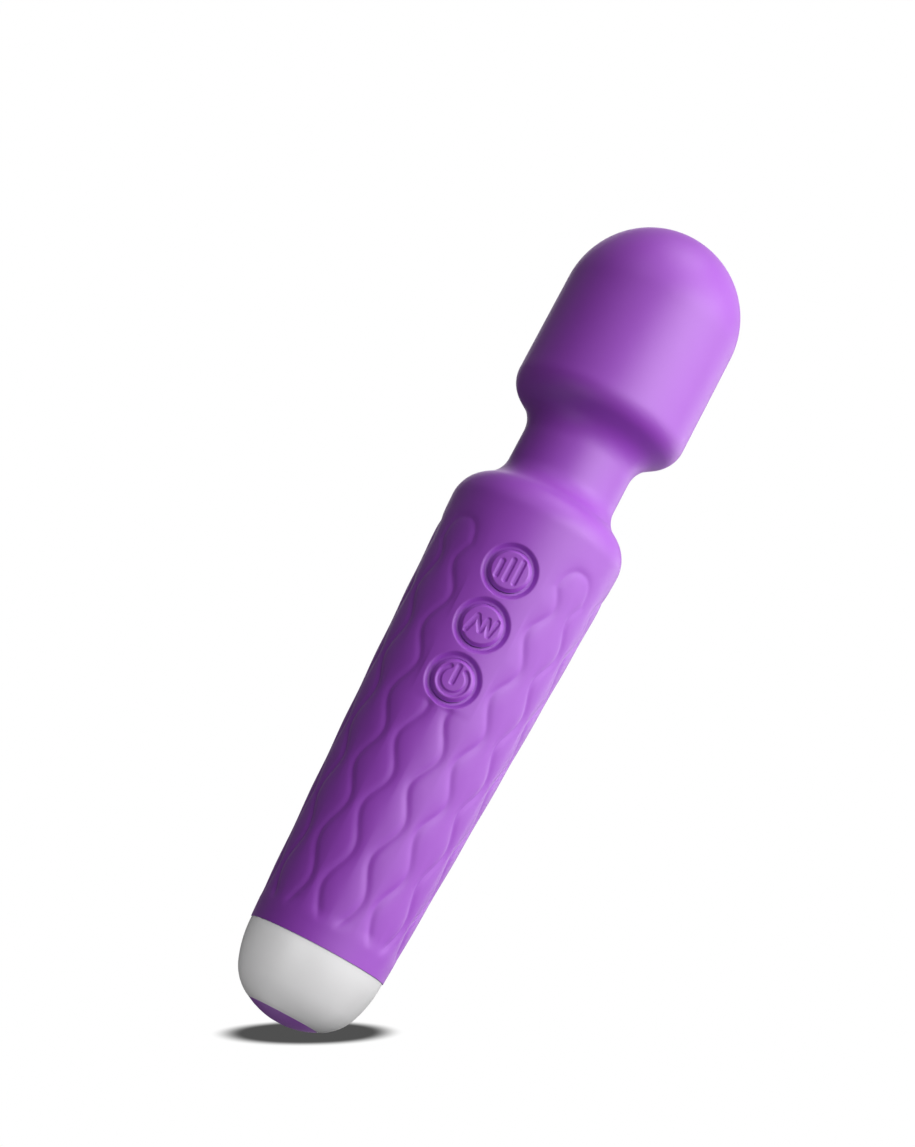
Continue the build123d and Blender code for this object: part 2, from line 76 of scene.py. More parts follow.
# ---- sizes read from the frame -----------------------------------------------------------------
TIP_Z = high("head_sleeve").z
HEAD_R = high("head_sleeve").x
RING_Z = low("handle_sleeve").z
CAP_R = high("end_cap").x
PIVOT_Z = 1000 * next(j["pos_m"][2] for j in frame["joints"] if j["name"] == "neck_tilt_fore")
BEND_LOW, BEND_HIGH = PIVOT_Z - 9.0, PIVOT_Z + 9.0  # the neck bends between these heights
BUTTONS = {
    kind: (low(f"{kind}_button").z + high(f"{kind}_button").z) / 2
    for kind in ("power", "mode", "level")
}
BUTTON_R = (high("power_button").x - low("power_button").x) / 2

# ---- profile of the skin -----------------------------------------------------------------------
# the same values as in the CAD source: fitted to the photograph's outline, then rounded
CURVE_R, BELLY_R, SHOULDER_R, NECK_R = 16.2, 19.05, 21.1, 13.4
CURVE_Z, BELLY_Z, SHOULDER_Z = 17.6, 76.0, 126.6
NECK_LOW_Z, NECK_HIGH_Z, HEAD_LOW_Z = 132.0, 147.2, 152.7
ROUNDINGS = (8.3, 7.2, 8.0, 6.2)  # at the shoulder, both ends of the neck, and under the head
DOME_ARC = 33  # about the length of the dome's profile
SKIN, HEAD_SKIN = 2.0, 3.2  # thickness on the handle and neck, and on the head

# ---- relief on the handle ----------------------------------------------------------------------
CHAINS = 8
EDGE_DEGREES, EDGE_SWING = 12.0, 4.9  # half width of a chain, and how far it swings
WIDEST = (11.6, 29.9, 48.2, 64.9, 81.6, 97.9, 113.2, 128.5)  # heights where the chains are widest
ARCH_LOW, ARCH_HIGH = 110.2, 115.8  # the chains close in a round arch between these heights
RELIEF_LOW = 21.6  # the lines fade out here
FADE_IN = 3.5  # the lines reach their full depth over this height
UPPER_LOSS, UPPER_LOSS_HEIGHT = 0.4, 14  # the lines lose this share of depth towards the arch
LINE_DEPTH, LINE_HALF_WIDTH, LINE_ROUND = 0.19, 1.4, 0.25  # the narrow groove itself
PILLOW_DEPTH, PILLOW_HALF_WIDTH = 0.28, 4.6  # the skin swells gently between the grooves
GROOVE_R, GROOVE_DEPTH, HOLE_R = 6.0, 0.95, 4.97  # the round groove and the hole of a button
WALL_IN, WALL_OUT = 0.55, 0.45  # the groove's outer wall starts and ends this far from GROOVE_R
FAR = 99  # stands for nothing nearby


def handle_radius(z):
    """Radius of the handle at height z, as in the CAD source."""
    rise = (SHOULDER_R - CURVE_R) / (SHOULDER_Z - CURVE_Z)
    chord_r = CURVE_R + rise * (z - CURVE_Z)
    belly = BELLY_R - CURVE_R - rise * (BELLY_Z - CURVE_Z)
    shape = (z - CURVE_Z) * (SHOULDER_Z - z) / ((BELLY_Z - CURVE_Z) * (SHOULDER_Z - BELLY_Z))
    return chord_r + belly * shape


def rounded(points, radii, step):
    """A polyline with its inner corners rounded, sampled every step or so."""
    points = [np.array(p, float) for p in points]
    out = [points[0]]
    for before, corner, after, radius in zip(points, points[1:], points[2:], radii):
        a = (before - corner) / np.linalg.norm(before - corner)
        b = (after - corner) / np.linalg.norm(after - corner)
        half = math.acos(np.clip(a @ b, -1, 1)) / 2
        centre = corner + (a + b) / np.linalg.norm(a + b) * radius / math.sin(half)
        start, end = corner + a * radius / math.tan(half), corner + b * radius / math.tan(half)
        u, v = start - centre, end - centre
        sweep = math.acos(np.clip(u @ v / radius**2, -1, 1))
        steps = max(2, math.ceil(sweep * radius / step))
        for i in range(steps + 1):
            t = i / steps
            spoke = math.sin((1 - t) * sweep) * u + math.sin(t * sweep) * v
            out.append(centre + spoke / math.sin(sweep))
    return out + [points[-1]]


def resampled(points, spacing):
    """The same line with points at the distances that spacing(z) asks for."""
    points = np.array(points)
    lengths = np.concatenate(([0], np.cumsum(np.linalg.norm(np.diff(points, axis=0), axis=1))))
    out, at = [], 0.0
    while at < lengths[-1]:
        p = np.array([np.interp(at, lengths, points[:, i]) for i in (0, 1)])
        out.append(p)
        at += spacing(p[1])
    out.append(points[-1])
    return np.array(out)


def skin_profile(inset=0.0, step=0.25):
    """(radius, height) points up the skin from the end cap to the tip, set in by a thickness."""
    low_turn = math.atan2(SHOULDER_R - NECK_R, NECK_LOW_Z - SHOULDER_Z)
    high_turn = math.atan2(HEAD_R - NECK_R, HEAD_LOW_Z - NECK_HIGH_Z)
    drop, rise = inset * math.tan(low_turn / 2), inset * math.tan(high_turn / 2)
    dome_z = TIP_Z - HEAD_R
    side = [(handle_radius(z) - inset, z) for z in np.arange(RING_Z, SHOULDER_Z - 9.0, 1.0)]
    corners = [
        (handle_radius(SHOULDER_Z) - inset, SHOULDER_Z - drop),
        (NECK_R - inset, NECK_LOW_Z - drop),
        (NECK_R - inset, NECK_HIGH_Z + rise),
        (HEAD_R - inset, HEAD_LOW_Z + rise),
    ]
    radii = [r + way * inset for r, way in zip(ROUNDINGS, (-1, 1, 1, -1))]
    rest = rounded([side[-1], *corners, (HEAD_R - inset, dome_z)], radii, step)
    dome = [
        ((HEAD_R - inset) * math.cos(a), dome_z + (HEAD_R - inset) * math.sin(a))
        for a in np.linspace(0, math.pi / 2, math.ceil(DOME_ARC / step))
    ]
    return np.array([*side[:-1], *rest, *dome[1:]])


# ---- relief ------------------------------------------------------------------------------------
def smooth(x, a, b):
    """0 below a, 1 above b, smoothly between."""
    t = np.clip((x - a) / (b - a), 0, 1)
    return t * t * (3 - 2 * t)


def edge_line():
    """Points on one edge of a chain, as (distance from the chain's middle line, height)."""
    heights = np.arange(RELIEF_LOW - 3, ARCH_LOW, 0.1)
    beats = np.interp(heights, WIDEST, np.arange(len(WIDEST)))
    angle = np.radians(EDGE_DEGREES + EDGE_SWING * np.cos(2 * np.pi * beats))
    line = list(zip(angle * handle_radius(heights), heights))
    wide = line[-1][0]
    for a in np.linspace(0, np.pi / 2, 60):
        line.append((wide * np.cos(a) ** 0.8, ARCH_LOW + (ARCH_HIGH - ARCH_LOW) * np.sin(a)))
    return np.array(line)


def tree_of(points):
    """A search tree of (x, z) points."""
    tree = kdtree.KDTree(len(points))
    for i, (x, z) in enumerate(points):
        tree.insert((x, z, 0), i)
    tree.balance()
    return tree


EDGE_TREE = tree_of(edge_line())


def relief(x, z):
    """How deep the skin's surface lies at x millimetres round from the button line, at height z."""
    radius = handle_radius(z)
    pitch = 2 * math.pi / CHAINS
    angle = x / radius
    chain = np.round(angle / pitch)
    off = np.abs(angle - chain * pitch) * radius
    depth = np.zeros_like(z)
    near = (z > RELIEF_LOW - 2) & (z < ARCH_HIGH + PILLOW_HALF_WIDTH)
    for i in np.flatnonzero(near):
        depth[i] = EDGE_TREE.find((off[i], z[i], 0))[2]
    reach = np.hypot(depth, LINE_ROUND) - LINE_ROUND  # a rounded bottom
    line = LINE_DEPTH * np.clip(1 - reach / LINE_HALF_WIDTH, 0, 1) ** 2
    line += PILLOW_DEPTH * np.clip(1 - reach / PILLOW_HALF_WIDTH, 0, 1) ** 2
    line *= 1 - UPPER_LOSS * smooth(z, ARCH_LOW - UPPER_LOSS_HEIGHT, ARCH_HIGH)
    faded_out = smooth(z, ARCH_HIGH, ARCH_HIGH + PILLOW_HALF_WIDTH)
    line *= near * smooth(z, RELIEF_LOW, RELIEF_LOW + FADE_IN) * (1 - faded_out)
    first = BUTTONS["power"] - GROOVE_R
    line *= np.where(chain % CHAINS == 0, 1 - smooth(z, first - 1.0, first + 1.0), 1)
    flat_x = radius * np.sin(angle)
    total = line
    for height in BUTTONS.values():
        from_button = np.where(np.cos(angle) > 0, np.hypot(flat_x, z - height), FAR)
        wall = 1 - smooth(from_button, GROOVE_R - WALL_IN, GROOVE_R + WALL_OUT)
        clear = smooth(from_button, GROOVE_R - 1, GROOVE_R + 1.2)  # no line runs into a groove
        total = np.maximum(total * clear, GROOVE_DEPTH * wall)
    return total


# ---- mesh building -----------------------------------------------------------------------------
def new_piece(name, vertices, faces, material):
    """A mesh object from millimetre vertices."""
    mesh = bpy.data.meshes.new(name)
    mesh.from_pydata((np.array(vertices) * MM).tolist(), [], faces)
    mesh.validate()
    mesh.shade_smooth()
    mesh.set_sharp_from_angle(angle=math.radians(40))
    mesh.materials.append(material)
    piece = bpy.data.objects.new(name, mesh)
    bpy.context.scene.collection.objects.link(piece)
    return piece


def around(radius, z, angle):
    """The point at that radius and height, angle 0 being the button line and growing towards +X."""
    return np.stack([radius * np.sin(angle), -radius * np.cos(angle), z], axis=-1)


def joined(a, b):
    """Faces between two closed rings of vertices, either of which may be a single vertex."""
    count = max(len(a), len(b))
    faces = []
    for i in range(count):
        j = (i + 1) % count
        if len(a) == 1 and len(b) == 1:
            break
        if len(a) == 1:
            faces.append((a[0], b[j], b[i]))
        elif len(b) == 1:
            faces.append((a[i], a[j], b[0]))
        else:
            faces.append((a[i], a[j], b[j], b[i]))
    return faces


def lathe(name, profile, columns, material):
    """A closed surface of revolution from (radius, height) points.

    The last point joins the first, and a point on the axis becomes a single vertex.
    """
    angles = np.arange(columns) * 2 * np.pi / columns
    vertices, rings = [], []
    for r, z in profile:
        if r < 1e-6:
            rings.append([len(vertices)])
            vertices.append((0.0, 0.0, z))
        else:
            rings.append(list(range(len(vertices), len(vertices) + columns)))
            vertices.extend(around(np.full(columns, r), np.full(columns, z), angles))
    faces = []
    for a, b in zip(rings, [*rings[1:], rings[0]]):
        faces += joined(a, b)
    return new_piece(name, vertices, faces, material)


# ---- materials ---------------------------------------------------------------------------------
def node(tree, kind, **inputs):
    """A new shader node, each named input linked to a socket or set to a value."""
    made = tree.nodes.new(kind)
    for key, value in inputs.items():
        socket = made.inputs[key.replace("_", " ")]
        if isinstance(value, bpy.types.NodeSocket):
            tree.links.new(value, socket)
        else:
            socket.default_value = value
    return made


def principled(name):
    """A new node material: (material, its tree, its Principled shader)."""
    material = bpy.data.materials.new(name)
    material.use_nodes = True
    tree = material.node_tree
    return material, tree, tree.nodes["Principled BSDF"]


MOTTLING, GRAIN_HEIGHT = 9.0, 0.05  # size of the colour patches and height of the grain


def fine_surface(tree, shader, colour, darker, grain_mm, bump, rough_low, rough_high):
    """Slight colour mottling, uneven roughness and a fine moulded grain."""
    place = tree.nodes.new("ShaderNodeTexCoord").outputs["Object"]
    patches = node(
        tree, "ShaderNodeTexNoise",
        Vector=place, Scale=1 / (MOTTLING * MM), Detail=3.0, Roughness=0.55,
    )
    grain = node(
        tree, "ShaderNodeTexNoise",
        Vector=place, Scale=1 / (grain_mm * MM), Detail=4.0, Roughness=0.6,
    )
    tint = tree.nodes.new("ShaderNodeMix")
    tint.data_type = "RGBA"
    tint.inputs[6].default_value = (*colour, 1)
    tint.inputs[7].default_value = (*darker, 1)
    tree.links.new(patches.outputs["Fac"], tint.inputs["Factor"])
    tree.links.new(tint.outputs[2], shader.inputs["Base Color"])
    spread = node(tree, "ShaderNodeMapRange", Value=grain.outputs["Fac"])
    spread.inputs["To Min"].default_value = rough_low
    spread.inputs["To Max"].default_value = rough_high
    tree.links.new(spread.outputs["Result"], shader.inputs["Roughness"])
    grain_bump = node(
        tree, "ShaderNodeBump",
        Height=grain.outputs["Fac"], Strength=bump, Distance=GRAIN_HEIGHT * MM,
    )
    tree.links.new(grain_bump.outputs["Normal"], shader.inputs["Normal"])


def silicone(name, colour, darker):
    """Soft-touch silicone: satin, faintly velvety, with a very fine grain."""
    material, tree, shader = principled(name)
    fine_surface(tree, shader, colour, darker, 0.22, 0.25, 0.44, 0.56)
    shader.inputs["Specular IOR Level"].default_value = 1.0
    shader.inputs["Sheen Weight"].default_value = 0.35
    shader.inputs["Sheen Roughness"].default_value = 0.45
    shader.inputs["Sheen Tint"].default_value = (0.92, 0.72, 1.0, 1)
    return material


def plastic(name, colour, darker, rough=(0.3, 0.4)):
    """Moulded plastic with a faint grain."""
    material, tree, shader = principled(name)
    fine_surface(tree, shader, colour, darker, 0.35, 0.12, *rough)
    shader.inputs["Specular IOR Level"].default_value = 0.45
    return material


def metal(name, colour, darker, rough=(0.25, 0.4)):
    """Bare metal with a very fine grain."""
    material, tree, shader = principled(name)
    fine_surface(tree, shader, colour, darker, 0.15, 0.2, *rough)
    shader.inputs["Metallic"].default_value = 1.0
    return material


SKIN_PURPLE = silicone("skin_silicone", (0.335, 0.046, 0.575), (0.323, 0.042, 0.555))
CAP_PLASTIC = plastic("cap_plastic", (0.65, 0.645, 0.652), (0.62, 0.615, 0.622), (0.36, 0.46))
cap_shader = CAP_PLASTIC.node_tree.nodes["Principled BSDF"]
cap_shader.inputs["Subsurface Weight"].default_value = 0.25  # slightly translucent white
cap_shader.inputs["Subsurface Radius"].default_value = (1.0, 1.0, 1.0)
cap_shader.inputs["Subsurface Scale"].default_value = 3.0 * MM

# ---- skin: handle and lower neck ---------------------------------------------------------------
COLUMNS = 384  # of the skin's grid, round the handle
FINE, COARSE = 0.34, 0.6  # spacing of the grid's rows with and without relief
PANEL_HALF_WIDTH, PANEL_MARGIN = 9.0, 10.5  # the finely meshed strip round the buttons
HOLE_COUNT, PATCH_R = 168, 7.0  # vertices round a button hole, and the reach of its rings
RINGS = (
    HOLE_R, 5.13, 5.28, 5.44, 5.56, 5.68, 5.78, 5.88, 5.98, 6.08, 6.18, 6.28, 6.4, 6.58, 6.8,
)
RING_ROOM = 0.04  # a ring's vertices stay this far out of the other buttons' rings
HOLE_WALL = (1.5, 2.0, 2.4)  # depths down the wall of a button hole


def row_spacing(z):
    """Distance between the skin's rows at height z."""
    return FINE if RELIEF_LOW - 2 < z < ARCH_HIGH + 2 else COARSE


def lower_skin():
    """The skin from the end cap to the neck's middle: relief outside, plain inside, closed."""
    profile = skin_profile()
    below = profile[profile[:, 1] < PIVOT_Z]
    top = [np.interp(PIVOT_Z, profile[:, 1], profile[:, 0]), PIVOT_Z]
    outside = resampled(np.vstack((below, top)), row_spacing)
    slope = np.gradient(outside, axis=0)
    slope /= np.linalg.norm(slope, axis=1)[:, None]
    normal = np.stack((slope[:, 1], -slope[:, 0]), axis=1)
    rows = len(outside)
    step = 2 * np.pi / COLUMNS
    angles = np.arange(COLUMNS) * 2 * np.pi / COLUMNS
    angles = np.where(angles > np.pi, angles - 2 * np.pi, angles)
    grid_z = np.repeat(outside[:, 1], COLUMNS)
    grid_r = np.repeat(outside[:, 0], COLUMNS)
    grid_a = np.tile(angles, rows)
    depth = relief(grid_a * handle_radius(grid_z), grid_z)
    depth[grid_z > ARCH_HIGH + PILLOW_HALF_WIDTH] = 0
    nr, nz = np.repeat(normal[:, 0], COLUMNS), np.repeat(normal[:, 1], COLUMNS)
    vertices = list(around(grid_r - depth * nr, grid_z - depth * nz, grid_a))

    half_columns = math.ceil(PANEL_HALF_WIDTH / handle_radius(BELLY_Z) / step)
    first = np.searchsorted(outside[:, 1], BUTTONS["power"] - PANEL_MARGIN)
    last = np.searchsorted(outside[:, 1], BUTTONS["level"] + PANEL_MARGIN)
    faces = []
    for row in range(rows - 1):
        for column in range(COLUMNS):
            nearest = column if column < COLUMNS / 2 else column - COLUMNS
            if first <= row < last and -half_columns <= nearest < half_columns:
                continue
            following = (column + 1) % COLUMNS
            faces.append((
                row * COLUMNS + column, row * COLUMNS + following,
                (row + 1) * COLUMNS + following, (row + 1) * COLUMNS + column,
            ))

    # the strip round the buttons, between the grid's own rim vertices
    scale = handle_radius(BELLY_Z)  # the strip is laid out flat at this radius
    rim = []
    rim += [(first, c) for c in range(-half_columns, half_columns)]
    rim += [(r, half_columns) for r in range(first, last)]
    rim += [(last, c) for c in range(half_columns, -half_columns, -1)]
    rim += [(r, -half_columns) for r in range(last, first, -1)]
    flat = [(c * step * scale, outside[r, 1]) for r, c in rim]
    owners = [r * COLUMNS + c % COLUMNS for r, c in rim]

    def to_flat(x, z):
        """Where a point of the handle lies on the strip when it is laid out flat."""
        return math.asin(x / handle_radius(z)) * scale, z

    inner_heights = np.arange(outside[first, 1] + FINE, outside[last, 1] - 0.2, FINE)
    inner_columns = [c * step * scale for c in range(-half_columns + 1, half_columns)]
    centres = list(BUTTONS.values())
    spots = [
        (x, z) for x in inner_columns for z in inner_heights
        if all(
            math.hypot(math.sin(x / scale) * handle_radius(z), z - c) > PATCH_R for c in centres
        )
    ]
    hole_edges = []
    for c in centres:
        others = [other for other in centres if other != c]
        for ring_number, r in enumerate(RINGS):
            start = len(flat) + len(spots)
            turn = 0.5 * (ring_number % 2)  # every other ring is turned by half a step
            for i in range(HOLE_COUNT):
                a = 2 * math.pi * (i + turn) / HOLE_COUNT
                x, z = r * math.sin(a), c + r * math.cos(a)
                if all(math.hypot(x, z - other) >= r + RING_ROOM for other in others):
                    spots.append(to_flat(x, z))
            if ring_number == 0:
                hole_edges.append(list(range(start, start + HOLE_COUNT)))
    all_flat = [Vector(p) for p in flat + spots]
    edges = [(i, (i + 1) % len(flat)) for i in range(len(flat))]
    for ring_ids in hole_edges:
        edges += [(ring_ids[i], ring_ids[(i + 1) % len(ring_ids)]) for i in range(len(ring_ids))]
    out_points, _, out_faces, origin, _, _ = delaunay_2d_cdt(all_flat, edges, [], 0, 1e-5)
    spread_out = np.array([all_flat[o[0]] if o else p for o, p in zip(origin, out_points)])
    ids = []
    for number, source in enumerate(origin):
        index = source[0] if source else None
        if index is not None and index < len(flat):
            ids.append(owners[index])
        else:
            ids.append(len(vertices))
            x, z = spread_out[number]
            angle = x / scale
            r = handle_radius(z)
            d = relief(np.array([angle * r]), np.array([z]))[0]
            vertices.append(around(r - d, z, angle))
    low_z, high_z = outside[first, 1], outside[last, 1]
    for face in out_faces:
        middle = spread_out[list(face)].mean(axis=0)
        in_rim = abs(middle[0]) < half_columns * step * scale and low_z < middle[1] < high_z
        x = math.sin(middle[0] / scale) * handle_radius(middle[1])
        in_hole = any(math.hypot(x, middle[1] - c) < HOLE_R - 0.004 for c in centres)
        if in_rim and not in_hole:
            faces.append(tuple(ids[i] for i in face))

    # the walls of the button holes
    new_id = {source[0]: ids[number] for number, source in enumerate(origin) if source}
    for hole, ring_ids in zip(centres, hole_edges):
        loop = [new_id[i] for i in ring_ids]
        for depth_in in HOLE_WALL:
            deeper = list(range(len(vertices), len(vertices) + HOLE_COUNT))
            for i in range(HOLE_COUNT):
                a = 2 * math.pi * i / HOLE_COUNT
                x, z = HOLE_R * math.sin(a), hole + HOLE_R * math.cos(a)
                y = -math.sqrt((handle_radius(hole) - depth_in) ** 2 - x * x)
                vertices.append((x, y, z))
            faces += joined(loop, deeper)
            loop = deeper

    # the plain inside, one skin thickness in, from the neck's middle down to the end cap
    inner = [(outside[-1, 0] - SKIN, PIVOT_Z)]
    inner_profile = skin_profile(SKIN)
    picked = inner_profile[inner_profile[:, 1] < PIVOT_Z - 0.5][::-1]
    inner += [tuple(p) for p in picked[::3]]
    inner.append((handle_radius(RING_Z) - SKIN, RING_Z))
    previous = [(rows - 1) * COLUMNS + c for c in range(COLUMNS)]
    for r, z in inner:
        ring = list(range(len(vertices), len(vertices) + COLUMNS))
        vertices.extend(around(np.full(COLUMNS, r), np.full(COLUMNS, z), angles))
        faces += joined(previous, ring)
        previous = ring
    faces += joined(previous, list(range(COLUMNS)))
    return new_piece("handle_skin", vertices, faces, SKIN_PURPLE)


handle_skin = lower_skin()
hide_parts("handle_sleeve")
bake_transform(handle_skin)

# ---- skin: upper neck and head -----------------------------------------------------------------
HEAD_ROWS, HEAD_INNER_ROWS = 0.7, 1.4  # spacing of the rows outside and inside
THIN_END, THICK_START = 4.0, 7.0  # heights over the pivot where the inside steps in


def upper_skin():
    """The skin from the neck's middle to the tip, thicker inside the head."""
    profile = skin_profile()
    start = (np.interp(PIVOT_Z, profile[:, 1], profile[:, 0]), PIVOT_Z)
    outer = [start, *(tuple(p) for p in profile[profile[:, 1] > PIVOT_Z + 0.05])]
    outer = resampled(outer, lambda z: HEAD_ROWS)
    outer[-1] = (0.0, TIP_Z)
    inner = skin_profile(HEAD_SKIN)
    inner = inner[inner[:, 1] > PIVOT_Z + THICK_START]
    inner = resampled(inner, lambda z: HEAD_INNER_ROWS)[::-1]
    inner[0] = (0.0, TIP_Z - HEAD_SKIN)
    bottom = [(start[0] - SKIN, PIVOT_Z + THIN_END), (start[0] - SKIN, PIVOT_Z)]
    return lathe("head_skin", [*outer, *inner, *bottom], 192, SKIN_PURPLE)


head_skin = upper_skin()
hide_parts("neck_sleeve", "head_sleeve")
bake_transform(head_skin)

# ---- buttons -----------------------------------------------------------------------------------
BUTTON_BOTTOM = 2.1  # depth of a button's underside below the handle's surface
BUTTON_EDGE, BUTTON_EDGE_DROP = 0.85, 0.8  # width and fall of a button's rounded rim
BUTTON_RISE = 0.12  # of the face over the handle's surface
BUTTON_FLATTER = 0.8  # across the handle the face curves less than the handle does
BUTTON_COUNT, BUTTON_ROWS = 240, 72
POWER_RING_R, POWER_GAP = 3.1, 36  # millimetres, and degrees each side of the top
POWER_BAR = (-0.6, 3.3)  # heights of the bar's ends over the button's middle
ICON_DEPTH = 0.36
ICON_FLAT, ICON_EDGE = 0.2, 0.75  # the strokes' half widths at the bottom and at the top


def stroke(x, z, a, b):
    """Distance from each point to the line from a to b."""
    a, b = np.array(a, float), np.array(b, float)
    dot = (x - a[0]) * (b[0] - a[0]) + (z - a[1]) * (b[1] - a[1])
    along = np.clip(dot / ((b - a) @ (b - a)), 0, 1)
    return np.hypot(x - a[0] - along * (b[0] - a[0]), z - a[1] - along * (b[1] - a[1]))


def icon_distance(kind, x, z):
    """Distance from each point of a button's face to the middle line of its symbol."""
    if kind == "level":
        bars = ((-2.35, -2.2, 1.3), (-0.2, -2.3, 2.5), (1.95, -2.2, 3.0))
        return np.min([stroke(x, z, (bx, z0), (bx, z1)) for bx, z0, z1 in bars], axis=0)
    if kind == "mode":
        corners = ((-2.8, -2.4), (-1.6, 1.6), (0.2, -1.4), (0.9, 1.6), (2.2, -1.6), (3.0, 2.0))
        return np.min([stroke(x, z, a, b) for a, b in zip(corners, corners[1:])], axis=0)
    reach, turn = np.hypot(x, z), np.degrees(np.arctan2(x, z))
    ring = np.where(np.abs(turn) > POWER_GAP, np.abs(reach - POWER_RING_R), FAR)
    end_x = POWER_RING_R * math.sin(math.radians(POWER_GAP))
    end_z = POWER_RING_R * math.cos(math.radians(POWER_GAP))
    ends = np.hypot(np.abs(x) - end_x, z - end_z)
    return np.minimum(np.minimum(ring, ends), stroke(x, z, (0, POWER_BAR[0]), (0, POWER_BAR[1])))


def button(kind):
    """A round silicone button whose symbol is sunk into its slightly domed face."""
    centre = BUTTONS[kind]
    full_turn = np.arange(BUTTON_COUNT) * 2 * np.pi / BUTTON_COUNT
    vertices, faces, rings = [], [], []
    for r in np.linspace(0, BUTTON_R, BUTTON_ROWS):
        a = full_turn if r > 0 else np.zeros(1)
        x, z = r * np.sin(a), r * np.cos(a)
        surface = -np.sqrt((handle_radius(centre + z) - 0.02) ** 2 - (BUTTON_FLATTER * x) ** 2)
        sunk = ICON_DEPTH * (1 - smooth(icon_distance(kind, x, z), ICON_FLAT, ICON_EDGE))
        edge = BUTTON_EDGE_DROP * smooth(r, BUTTON_R - BUTTON_EDGE, BUTTON_R + 0.25)
        y = surface - BUTTON_RISE + edge + sunk
        rings.append(list(range(len(vertices), len(vertices) + len(a))))
        vertices.extend(np.stack([x, y, centre + z], axis=-1))
    back = -handle_radius(centre) + BUTTON_BOTTOM
    x, z = BUTTON_R * np.sin(full_turn), BUTTON_R * np.cos(full_turn)
    for y in (-handle_radius(centre) + 1.0, back):
        rings.append(list(range(len(vertices), len(vertices) + BUTTON_COUNT)))
        vertices.extend(np.stack([x, np.full(BUTTON_COUNT, y), centre + z], axis=-1))
    rings.append([len(vertices)])
    vertices.append((0, back, centre))
    for p, q in zip(rings, rings[1:]):
        faces += joined(p, q)
    piece = new_piece(f"{kind}_button_cap", vertices, faces, SKIN_PURPLE)
    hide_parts(f"{kind}_button")
    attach(piece, f"{kind}_key")


for kind in BUTTONS:
    button(kind)

# ---- end cap and charging insert ---------------------------------------------------------------
INSERT_R, INSERT_Z = 8.4, 2.05  # the insert's edge, and its height above z = 0
CAP_SIDE_ROUND, CAP_SIDE_SWEEP = 26.0, 22.0  # radius and degrees of the cap's steep arc
CAP_WALL, CAP_BEVEL = 1.6, 0.12
CAP_SEAM = 0.03  # the cap's edge stays this far below the sleeve
SEAT = 1.0  # depth of the recess, up from the insert's edge
CAP_INSIDE = ((5.2, 4.8), (11.0, 4.8), (13.0, 8.0), (14.0, 12.0))  # (radius, height)


def cap_profile():
    """Outside of the cap, from the sleeve down to the insert: a steep arc, then a rounder one."""
    centre = np.array((CAP_R - CAP_SIDE_ROUND, RING_Z))
    turns = np.radians(np.linspace(0, CAP_SIDE_SWEEP, 40))
    side = centre + CAP_SIDE_ROUND * np.stack((np.cos(turns), -np.sin(turns)), axis=1)
    start, foot = side[-1], np.array((INSERT_R, INSERT_Z))
    inward = (centre - start) / CAP_SIDE_ROUND
    chord = foot - start
    radius = chord @ chord / (2 * inward @ chord)
    middle = start + radius * inward
    sweep = 2 * math.asin(np.linalg.norm(chord) / 2 / radius)
    turns = turns[-1] + np.linspace(0, sweep, 60)[1:]
    rest = middle + radius * np.stack((np.cos(turns), -np.sin(turns)), axis=1)
    return np.concatenate((side, rest))


def end_cap():
    """The white cap, hollow, with a recess for the insert."""
    outside = cap_profile()
    foot_z = outside[-1, 1]
    profile = [
        (CAP_R - CAP_WALL, RING_Z - CAP_SEAM),
        (CAP_R - CAP_BEVEL, RING_Z - CAP_SEAM),
        *((r, min(z, RING_Z - CAP_BEVEL)) for r, z in outside),
        (INSERT_R + 0.02, foot_z - 0.02),
        (INSERT_R, foot_z + CAP_BEVEL),
        (INSERT_R, INSERT_Z + SEAT),
        (CAP_INSIDE[0][0], INSERT_Z + SEAT),
        *CAP_INSIDE,
    ]
    piece = lathe("end_cap_shell", profile, 192, CAP_PLASTIC)
    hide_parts("end_cap")
    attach(piece, "handle")


end_cap()

PIN_R, PIN_TOP = 1.6, 5.9  # the hole for the charging pin, and the height it reaches
PLUG_R = 5.1  # the part of the insert that goes through the cap


def insert():
    """The domed silicone insert with its pin hole."""
    top = INSERT_Z + 0.93
    bulge = (INSERT_R**2 + INSERT_Z**2) / (2 * INSERT_Z)
    radii = np.linspace(PIN_R + 0.3, INSERT_R - 0.35, 40)
    dome = [(r, bulge - math.sqrt(bulge**2 - r * r)) for r in radii]
    edge_z = dome[-1][1]
    profile = [
        (PIN_R, PIN_TOP),
        (PIN_R, 0.55),
        (PIN_R + 0.06, 0.34),
        *dome,
        (INSERT_R - 0.08, edge_z + 0.18),
        (INSERT_R - 0.05, edge_z + 0.5),
        (INSERT_R - 0.05, top),
        (PLUG_R, top),
        (PLUG_R, PIN_TOP),
    ]
    piece = lathe("charge_insert_skin", profile, 160, SKIN_PURPLE)
    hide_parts("charge_insert")
    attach(piece, "handle")


insert()

